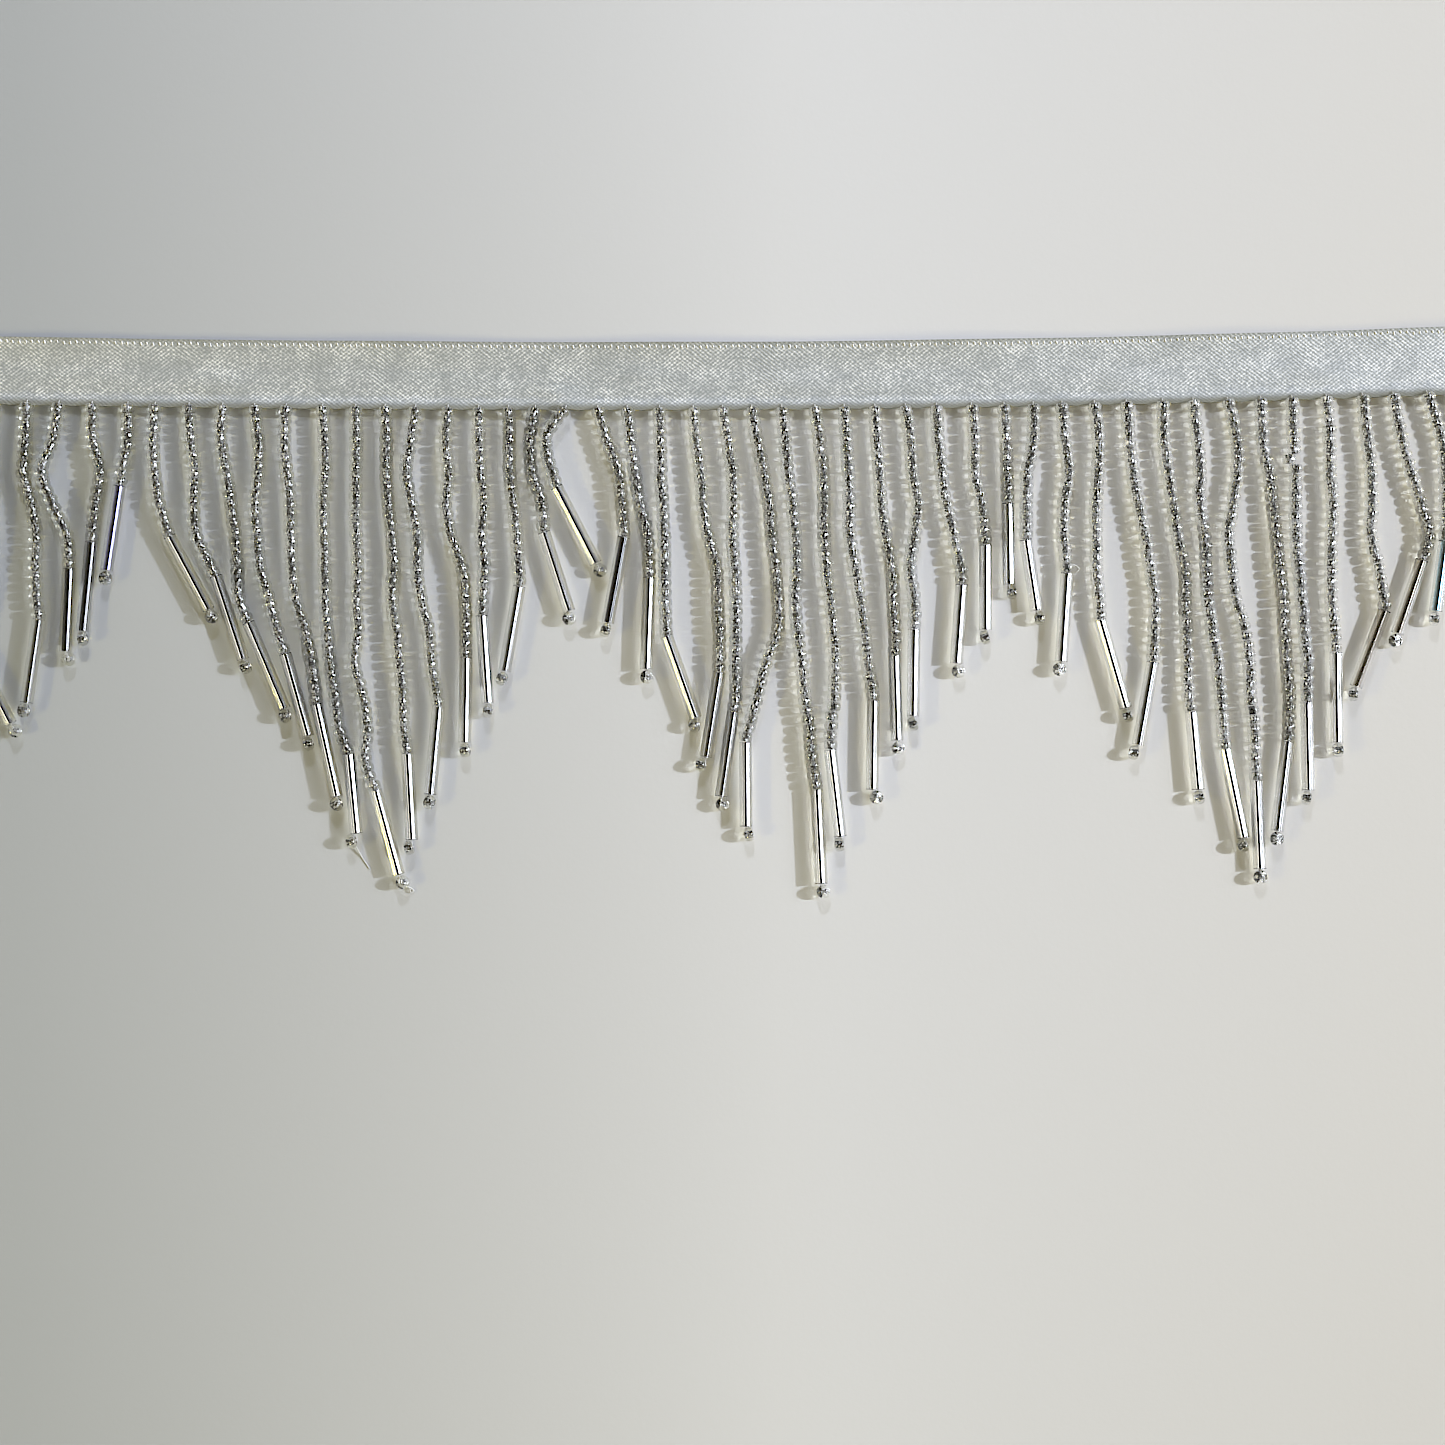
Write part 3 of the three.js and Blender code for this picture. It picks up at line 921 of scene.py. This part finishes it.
# Buckles: place along, place across from the lower edge, half length, half width, height
BUCKLES = [
    (-97, 5.0, 9, 2.2, 0.10),
    (-79, 4.0, 5, 1.6, 0.16),
    (-60, 6.0, 10, 2.4, 0.12),
    (-37, 3.0, 6, 1.5, 0.10),
    (-25.6, 2.2, 3.2, 1.6, 0.34),
    (-14, 6.0, 5, 1.4, 0.16),
    (10.6, 4.0, 6, 2.0, 0.20),
    (30, 3.0, 9, 2.2, 0.10),
    (48, 6.0, 7, 1.8, 0.14),
    (64, 3.5, 5, 1.8, 0.22),
    (82, 5.5, 7, 1.6, 0.12),
    (96, 3.5, 5, 1.8, 0.24),
    (110, 6.0, 6, 2.0, 0.14),
]
FLOAT_LONG = 0.8
ROW_PITCH = 0.31
FLOAT_HEIGHT = 0.035


def hills(x, rows):
    """A sum of soft hills: each row is a place, a half length and a height."""
    return sum(height * np.exp(-(((x - place) / half) ** 2)) for place, half, height in rows)


def ribbon_height(x, up):
    """How far the ribbon's underside is off the surface, `up` millimetres from the lower edge."""
    curl = np.clip(((up - SEAM) / (RIBBON_WIDTH - SEAM) - 0.5) / 0.5, 0, 1)
    hem = np.clip(1 - up / HEM_WIDE, 0, 1)
    height = (EDGE_LIFT + hills(x, WAVES)) * curl**1.5 + HEM_LIFT * hem**1.5
    for place, across, long, wide, high in BUCKLES:
        height = height + high * np.exp(-(((x - place) / long) ** 2) - ((up - across) / wide) ** 2)
    return height


def drawn_up(x):
    """How far the stitches draw the lower edge up at x."""
    roots = np.array([row[0] for row in STRANDS])
    nearest = np.min(np.abs(np.asarray(x)[..., None] - roots), axis=-1)
    return SCALLOP * np.exp(-((nearest / SCALLOP_HALF) ** 2))


# %% The ribbon's mesh
columns = round((RIBBON_RIGHT - RIBBON_LEFT) / (FLOAT_LONG / 2))
rows = round(RIBBON_WIDTH / ROW_PITCH)
ROW_STEP = RIBBON_WIDTH / rows
print("ribbon's grid:", columns, "by", rows)
grid_x, grid_up = np.meshgrid(
    np.linspace(RIBBON_LEFT, RIBBON_RIGHT, columns + 1),
    np.linspace(0, RIBBON_WIDTH, rows + 1),
    indexing="ij",
)
i, j = np.indices(grid_x.shape)
gather = drawn_up(grid_x) * np.clip(1 - grid_up / SCALLOP_DEEP, 0, 1) ** 2
grid_y = lower_edge(grid_x) + grid_up + gather
under = ribbon_height(grid_x, grid_up)
weave = np.where((i + j) % 2 == 0, FLOAT_HEIGHT, 0.0)
face_side = np.stack([grid_x, grid_y, under + RIBBON_THICKNESS + weave], 2)
back_side = np.stack([grid_x, grid_y, under], 2)


def closed_sheet(top, bottom):
    """One closed skin from two grids of points: a face, a back, and the four thin edges between them."""
    long, wide = top.shape[:2]
    over = np.arange(long * wide).reshape(long, wide)
    below = over + long * wide

    def quads(a, b, c, d):
        return np.stack([a, b, c, d], axis=-1).reshape(-1, 4)

    faces = [
        quads(over[:-1, :-1], over[1:, :-1], over[1:, 1:], over[:-1, 1:]),
        quads(below[:-1, :-1], below[:-1, 1:], below[1:, 1:], below[1:, :-1]),
        quads(below[:-1, 0], below[1:, 0], over[1:, 0], over[:-1, 0]),
        quads(below[1:, -1], below[:-1, -1], over[:-1, -1], over[1:, -1]),
        quads(below[0, 1:], below[0, :-1], over[0, :-1], over[0, 1:]),
        quads(below[-1, :-1], below[-1, 1:], over[-1, 1:], over[-1, :-1]),
    ]
    return np.vstack([top.reshape(-1, 3), bottom.reshape(-1, 3)]), np.vstack(faces)


# %% [markdown]
# ## Satin
# Satin shines because its threads run over several others before they dive under one. Each such float is
# a bright dot, painted into the colour as sheen, and the dots of the next row stand between them, so they
# line up in slanting lines both ways. One cosine makes the lines that rise to the right and another those
# that fall, in step with the grid's own raised points, and a slow noise decides which of the two shows
# more. Real threads wander and catch light unevenly, so noise also shifts the lines a little and dims some
# of the dots, and a wider noise paints brighter and duller patches of sheen. Along both edges the weave is
# plain and dull, so that it doesn't fray, and along the lower edge its dark olive colour is also painted
# shade.

# %% Ribbon satin
WANDER = 0.25


def ribbon_satin():
    satin = Finish("ribbon_satin")
    cloth = satin.attribute("cloth", output="Vector")
    from_edge = satin.axis("Y", cloth)
    # These masks are 0 along both edges, where the colour is the plain weave's dull one and, along the
    # lower edge, also painted shade
    lower = satin.span(from_edge, 0.2, 1.6, "SMOOTHSTEP")
    face = lower * satin.span(from_edge, RIBBON_WIDTH + 0.8, RIBBON_WIDTH - 0.8)
    drift = WANDER * satin.noise(1.6 * MM)
    along = (satin.axis("X", cloth) + drift) / FLOAT_LONG
    up = (from_edge + drift) / (2 * ROW_STEP)
    rising = satin.maths("COSINE", (along - up) * (2 * math.pi))
    falling = satin.maths("COSINE", (along + up) * (2 * math.pi))
    lean = satin.span(satin.noise(5 * MM), 0.15, 0.85)
    floats = 0.5 + 0.5 * (rising * lean + falling * (1 - lean))
    yarn = satin.span(satin.noise(0.45 * MM), 0.35, 0.65)
    # Painted sheen: the float dots and these wider bright and dull patches are light painted into the
    # colour
    painted_sheen_patches = satin.span(satin.noise(4 * MM, detail=3.0), 0.3, 0.7)
    painted_float_sheen = floats * (0.2 + 0.9 * yarn) * (0.5 + 0.9 * painted_sheen_patches)
    shade = satin.mix(painted_float_sheen * (0.35 + 0.65 * face), (0.38, 0.4, 0.4, 1), (1.0, 1.0, 0.98, 1))
    # The dark olive along the edges is the plain weave's colour, and along the lower edge it is also
    # painted shade
    shade = satin.mix(face, (0.25, 0.245, 0.19, 1), shade)
    return satin.set(
        Base_Color=shade,
        Metallic=0.2,
        Roughness=0.5,
        Normal=satin.bump(floats, 0.05 * MM, 0.8),
        Sheen_Weight=0.2,
    )


def weft_silk():
    """The weft that turns back at the edge is smoother and brighter than the satin's face."""
    silk = Finish("weft_silk")
    return silk.set(Base_Color=(1.0, 1.0, 1.0, 1.0), Roughness=0.35, Sheen_Weight=0.2)


points, faces = closed_sheet(face_side, back_side)
ribbon = mesh_piece("satin_ribbon", points, faces, ribbon_satin(), smooth_angle=60)
cloth_place = np.stack([grid_x - RIBBON_LEFT, grid_up, 0 * grid_x], 2).reshape(-1, 3)
held = ribbon.data.attributes.new("cloth", "FLOAT_VECTOR", "POINT")
held.data.foreach_set("vector", np.vstack([cloth_place, cloth_place]).astype(np.float32).ravel())
belongs(ribbon, "ribbon_satin", "ribbon")

# %% [markdown]
# ## Selvedge
# Along the ribbon's upper edge the weft turns back, and each turn shows as a short bright stitch across
# the edge, about one every millimetre. A bump in the satin's finish could hint at them, but only a real
# round back catches the lamps as a stitch does, so they are small tubes that lie half sunk in the cloth.

# %% Weft turns along the upper edge
TURN_PITCH = 1.0
TURN_LONG = 0.6
TURN_WIDTH = 0.26


def weft_turn(x):
    """One short stitch across the upper edge at x."""
    share = np.linspace(0, 1, 6)
    reach = RIBBON_WIDTH - draw.uniform(0.3, 0.5) - share * TURN_LONG * draw.uniform(0.7, 1.1)
    aside = x + draw.normal(0, 0.04) + 0.12 * share
    rise = RIBBON_THICKNESS - 0.03 + 0.05 * np.sin(math.pi * share)
    height = ribbon_height(aside, np.minimum(reach, RIBBON_WIDTH)) + rise
    line = np.stack([aside, lower_edge(aside) + reach, height], 1)
    return tube(line, TURN_WIDTH * draw.uniform(0.85, 1.1))


turns = [weft_turn(x) for x in np.arange(RIBBON_LEFT + 0.5, RIBBON_RIGHT - 0.3, TURN_PITCH)]
selvedge = mesh_piece("ribbon_selvedge", *joined(turns), weft_silk())
belongs(selvedge, "ribbon_satin")

# %% [markdown]
# ## Surface and light
# The surface is pale, and its colour is painted darker and greyer towards the left and darker and warmer
# towards the right, which is painted shade where less lamp light falls. One small lamp stands low on the
# right and throws the long shadows. Three weaker ones stand on the left, in front and behind, and the one
# behind throws the ribbon's own shadow between the strands. The beads also need something wide to mirror,
# so the surroundings have a bright window behind each lamp and are dark overhead, which gives every lining
# its white side and its dark side.

# %% The surface
def pale_paint_with_painted_shade():
    """Pale paint with painted shade: greyer and darker towards the left, and darker and warmer towards the
    right.
    """
    paint = Finish("pale_paint_with_painted_shade")
    grain = paint.noise(1.2 * MM, detail=3.0)
    across = paint.axis("X")
    # Painted shade: the paint is darker towards both sides, where less lamp light falls, and warmer on the
    # right
    shade = paint.mix(paint.span(across, -0.11, 0.01), (0.465, 0.478, 0.49, 1), (0.74, 0.73, 0.72, 1))
    shade = paint.mix(paint.span(across, 0.02, 0.11), shade, (0.67, 0.645, 0.6, 1))
    return paint.set(Base_Color=shade, Roughness=0.6, Normal=paint.bump(grain, 0.05 * MM, 0.4))


SURFACE_WIDE = 12.0
bpy.ops.mesh.primitive_plane_add(size=SURFACE_WIDE)
surface = bpy.context.object
surface.name = "surface"
surface.data.materials.append(pale_paint_with_painted_shade())
print("surface, m:", SURFACE_WIDE)


# %% [markdown]
# ## Lamps
# A lamp of a given power looks brighter the nearer and the steeper it stands. So each one is described
# by the share of light that it lays on the surface, and its power is worked out from that. Area lamps
# were chosen because their size sets how soft the shadows' edges are. The right and back lamps are cool
# daylight, and the other two are warm.

# %% Lamps, each set by the light that it lays on the surface
LAMP_DISTANCE = 0.9
COOL = (0.91, 0.97, 1.13)
WARM = (1.0, 0.86, 0.22)
# Where each lamp and its window stand: azimuth and elevation in degrees
RIGHT = (5, 28)
BACK = (93, 33)
LEFT = (198, 27)
FRONT = (268, 40)


def direction(azimuth, elevation):
    """The unit vector towards a place in the room, with both angles in degrees."""
    turn, rise = math.radians(azimuth), math.radians(elevation)
    return Vector((math.cos(turn) * math.cos(rise), math.sin(turn) * math.cos(rise), math.sin(rise)))


def lamp(name, stand, size, light, colour):
    """A round lamp that looks at the trim. `light` is its share of what falls on the surface there."""
    way = direction(*stand)
    made = bpy.data.objects.new(name, bpy.data.lights.new(name, "AREA"))
    made.data.shape = "DISK"
    made.data.size = size
    made.data.energy = light * (math.pi * LAMP_DISTANCE) ** 2 / way.z
    made.data.color = colour
    made.location = way * LAMP_DISTANCE
    made.rotation_euler = way.to_track_quat("Z", "Y").to_euler()
    bpy.context.scene.collection.objects.link(made)
    print(name, "W:", round(made.data.energy, 2))


lamp("right_lamp", RIGHT, 0.04, 0.33, COOL)
lamp("back_lamp", BACK, 0.04, 0.12, COOL)
lamp("left_lamp", LEFT, 0.05, 0.08, WARM)
lamp("front_lamp", FRONT, 0.05, 0.05, WARM)


# %% [markdown]
# ## Surroundings
# A photograph of a room could light the scene, but a few soft round windows are enough here and easy to
# move. Each stands where its lamp stands, so what the beads mirror and what throws their shadows agree.

# %% The surroundings
def surroundings():
    """A dark room with a soft light window behind each lamp and a wide glow on the right."""
    world = bpy.data.worlds.new("surroundings")
    bpy.context.scene.world = world
    sky = Finish("surroundings", owner=world)
    way = sky.node("ShaderNodeTexCoord", output="Generated")

    def window(stand, inner, outer):
        """1 within `inner` degrees of a lamp's direction, and 0 beyond `outer`."""
        settings = {"operation": "DOT_PRODUCT"}
        toward = sky.node("ShaderNodeVectorMath", settings, {0: way, 1: direction(*stand)}, "Value")
        inside = math.cos(math.radians(inner))
        outside = math.cos(math.radians(outer))
        return sky.span(toward, outside, inside, "SMOOTHSTEP")

    low_down = sky.span(sky.axis("Z", way), 0.65, 0.3, "SMOOTHSTEP")
    right = window(RIGHT, 20, 50)
    bright_right = window(RIGHT, 12, 14)
    back = window(BACK, 8, 10)
    left = window(LEFT, 14, 18)
    front = window(FRONT, 8, 10)
    light = 0.05 + 0.16 * low_down + 0.18 * right + 7.5 * bright_right
    light = light + 2 * back + 1.7 * left + 1.9 * front
    warm = sky.mix(left + front, (1.0, 0.91, 0.64, 1), (1.0, 0.97, 0.9, 1))
    tone = sky.mix(right + back, warm, (0.93, 0.98, 1.07, 1))
    return sky.set(Color=tone, Strength=light)


surroundings()
bpy.context.scene.view_settings.view_transform = "Standard"
print("world:", bpy.context.scene.world.name)

# %% [markdown]
# ## What a camera adds
# In a small camera the brightest points bleed a little into their surroundings, the sensor clips what is
# brighter than white, and the software sharpens the picture. Three compositor nodes do the same in a row.

# %% Bloom and sharpening
BLOOM = 0.1
BLOOM_SIZE = 0.05
SHARPENING = 0.08


def camera_look():
    scene = bpy.context.scene
    scene.use_nodes = True
    tree = scene.node_tree
    tree.nodes.clear()
    picture = tree.nodes.new("CompositorNodeRLayers")
    bloom = tree.nodes.new("CompositorNodeGlare")
    bloom.glare_type = "BLOOM"
    bloom.quality = "HIGH"
    bloom.inputs["Threshold"].default_value = 1.0
    bloom.inputs["Strength"].default_value = BLOOM
    bloom.inputs["Size"].default_value = BLOOM_SIZE
    # Mixing in nothing leaves the picture as it is, and the clamp then clips it
    clip = tree.nodes.new("CompositorNodeMixRGB")
    clip.use_clamp = True
    clip.inputs["Fac"].default_value = 0.0
    sharpen = tree.nodes.new("CompositorNodeFilter")
    sharpen.filter_type = "SHARPEN"
    sharpen.inputs["Fac"].default_value = SHARPENING
    final = tree.nodes.new("CompositorNodeComposite")
    tree.links.new(picture.outputs["Image"], bloom.inputs["Image"])
    tree.links.new(bloom.outputs["Image"], clip.inputs[1])
    tree.links.new(clip.outputs["Image"], sharpen.inputs["Image"])
    tree.links.new(sharpen.outputs["Image"], final.inputs["Image"])


camera_look()
print("compositor nodes:", len(bpy.context.scene.node_tree.nodes))
